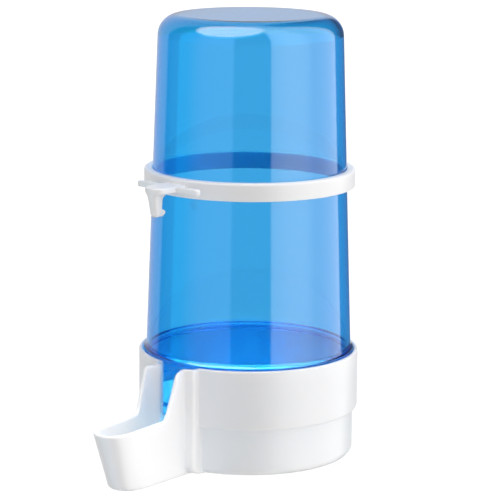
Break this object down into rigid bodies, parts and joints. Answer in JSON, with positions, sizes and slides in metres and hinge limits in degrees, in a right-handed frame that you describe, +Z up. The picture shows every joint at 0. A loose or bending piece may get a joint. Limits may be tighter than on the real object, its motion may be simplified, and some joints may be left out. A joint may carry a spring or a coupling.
{
  "type": "bird water fountain",
  "caption": "Gravity bird water fountain: a see-through blue reservoir stands upside down in a white base with a drinking spout, and a clip ring on it hooks over cage wires.",
  "frame": {"origin": "on the reservoir's axis, in the plane of the underside of the base", "axes": "+Z up along the reservoir's axis, -Y along the drinking spout, +X to the right of the spout seen from in front of it"},
  "size_m": [0.075, 0.1125, 0.15],
  "materials": {
    "white_plastic": "smooth satin injection moulding",
    "blue_clear_plastic": "polished see-through injection moulding, tinted blue"
  },
  "bodies": {
    "base": {"base": "white_plastic"},
    "reservoir": {"reservoir": "blue_clear_plastic"},
    "clip_ring": {"clip_ring": "white_plastic"}
  },
  "joints": [
    {"name": "reservoir_lift", "type": "slide", "parent": "base", "child": "reservoir", "axis": [0, 0, 1], "range_m": [0, 0.03]},
    {"name": "clip_ring_lift", "type": "slide", "parent": "reservoir", "child": "clip_ring", "axis": [0, 0, 1], "range_m": [0, 0.065]}
  ]
}
